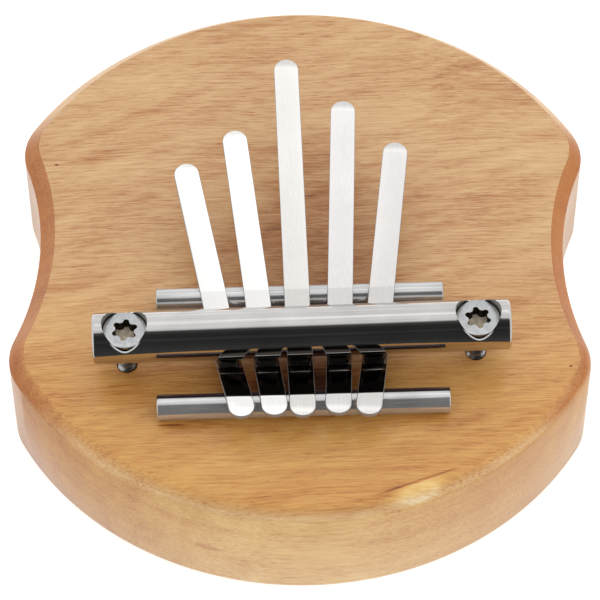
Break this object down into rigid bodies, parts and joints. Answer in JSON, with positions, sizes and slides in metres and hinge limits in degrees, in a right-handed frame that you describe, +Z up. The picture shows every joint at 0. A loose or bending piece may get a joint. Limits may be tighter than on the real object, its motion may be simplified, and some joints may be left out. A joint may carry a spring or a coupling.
{
  "type": "kalimba",
  "caption": "Palm-sized thumb piano: a round wooden soundboard with side notches, and bent steel tines held over two rods by a screwed clamp bar.",
  "frame": {"origin": "middle of the board's flat underside", "axes": "+Z up out of the underside, +Y away from the player along the board's length, +X to the player's right"},
  "size_m": [0.0916, 0.1024, 0.0317],
  "materials": {
    "oiled_wood": "oiled satin",
    "polished_steel": "polished",
    "drawn_steel": "bright drawn",
    "zinc_plated_steel": "zinc plated",
    "spring_steel": "satin nickel"
  },
  "bodies": {
    "frame": {"soundboard": "oiled_wood", "clamp_bar": "polished_steel", "bridge_rod": "drawn_steel", "rest_rod": "drawn_steel", "screw_left": "zinc_plated_steel", "screw_right": "zinc_plated_steel"},
    "tine_1": {"tine_1": "spring_steel"},
    "tine_2": {"tine_2": "spring_steel"},
    "tine_3": {"tine_3": "spring_steel"},
    "tine_4": {"tine_4": "spring_steel"},
    "tine_5": {"tine_5": "spring_steel"}
  },
  "joints": [
    {"name": "tine_1_flex", "type": "hinge", "parent": "frame", "child": "tine_1", "pos_m": [-0.01384, -0.01202, 0.0244], "axis": [0.9991, 0.0427, 0], "range_deg": [-1.4, 0.8], "stiffness_Nm_per_rad": 0.1},
    {"name": "tine_2_flex", "type": "hinge", "parent": "frame", "child": "tine_2", "pos_m": [-0.00699, -0.01172, 0.0244], "axis": [0.9991, 0.0427, 0], "range_deg": [-1.4, 0.8], "stiffness_Nm_per_rad": 0.1},
    {"name": "tine_3_flex", "type": "hinge", "parent": "frame", "child": "tine_3", "pos_m": [-0.00061, -0.01145, 0.0244], "axis": [0.9991, 0.0427, 0], "range_deg": [-1.4, 0.8], "stiffness_Nm_per_rad": 0.1},
    {"name": "tine_4_flex", "type": "hinge", "parent": "frame", "child": "tine_4", "pos_m": [0.00628, -0.01115, 0.0244], "axis": [0.9991, 0.0427, 0], "range_deg": [-1.4, 0.8], "stiffness_Nm_per_rad": 0.1},
    {"name": "tine_5_flex", "type": "hinge", "parent": "frame", "child": "tine_5", "pos_m": [0.01286, -0.01087, 0.0244], "axis": [0.9991, 0.0427, 0], "range_deg": [-1.4, 0.8], "stiffness_Nm_per_rad": 0.1}
  ]
}
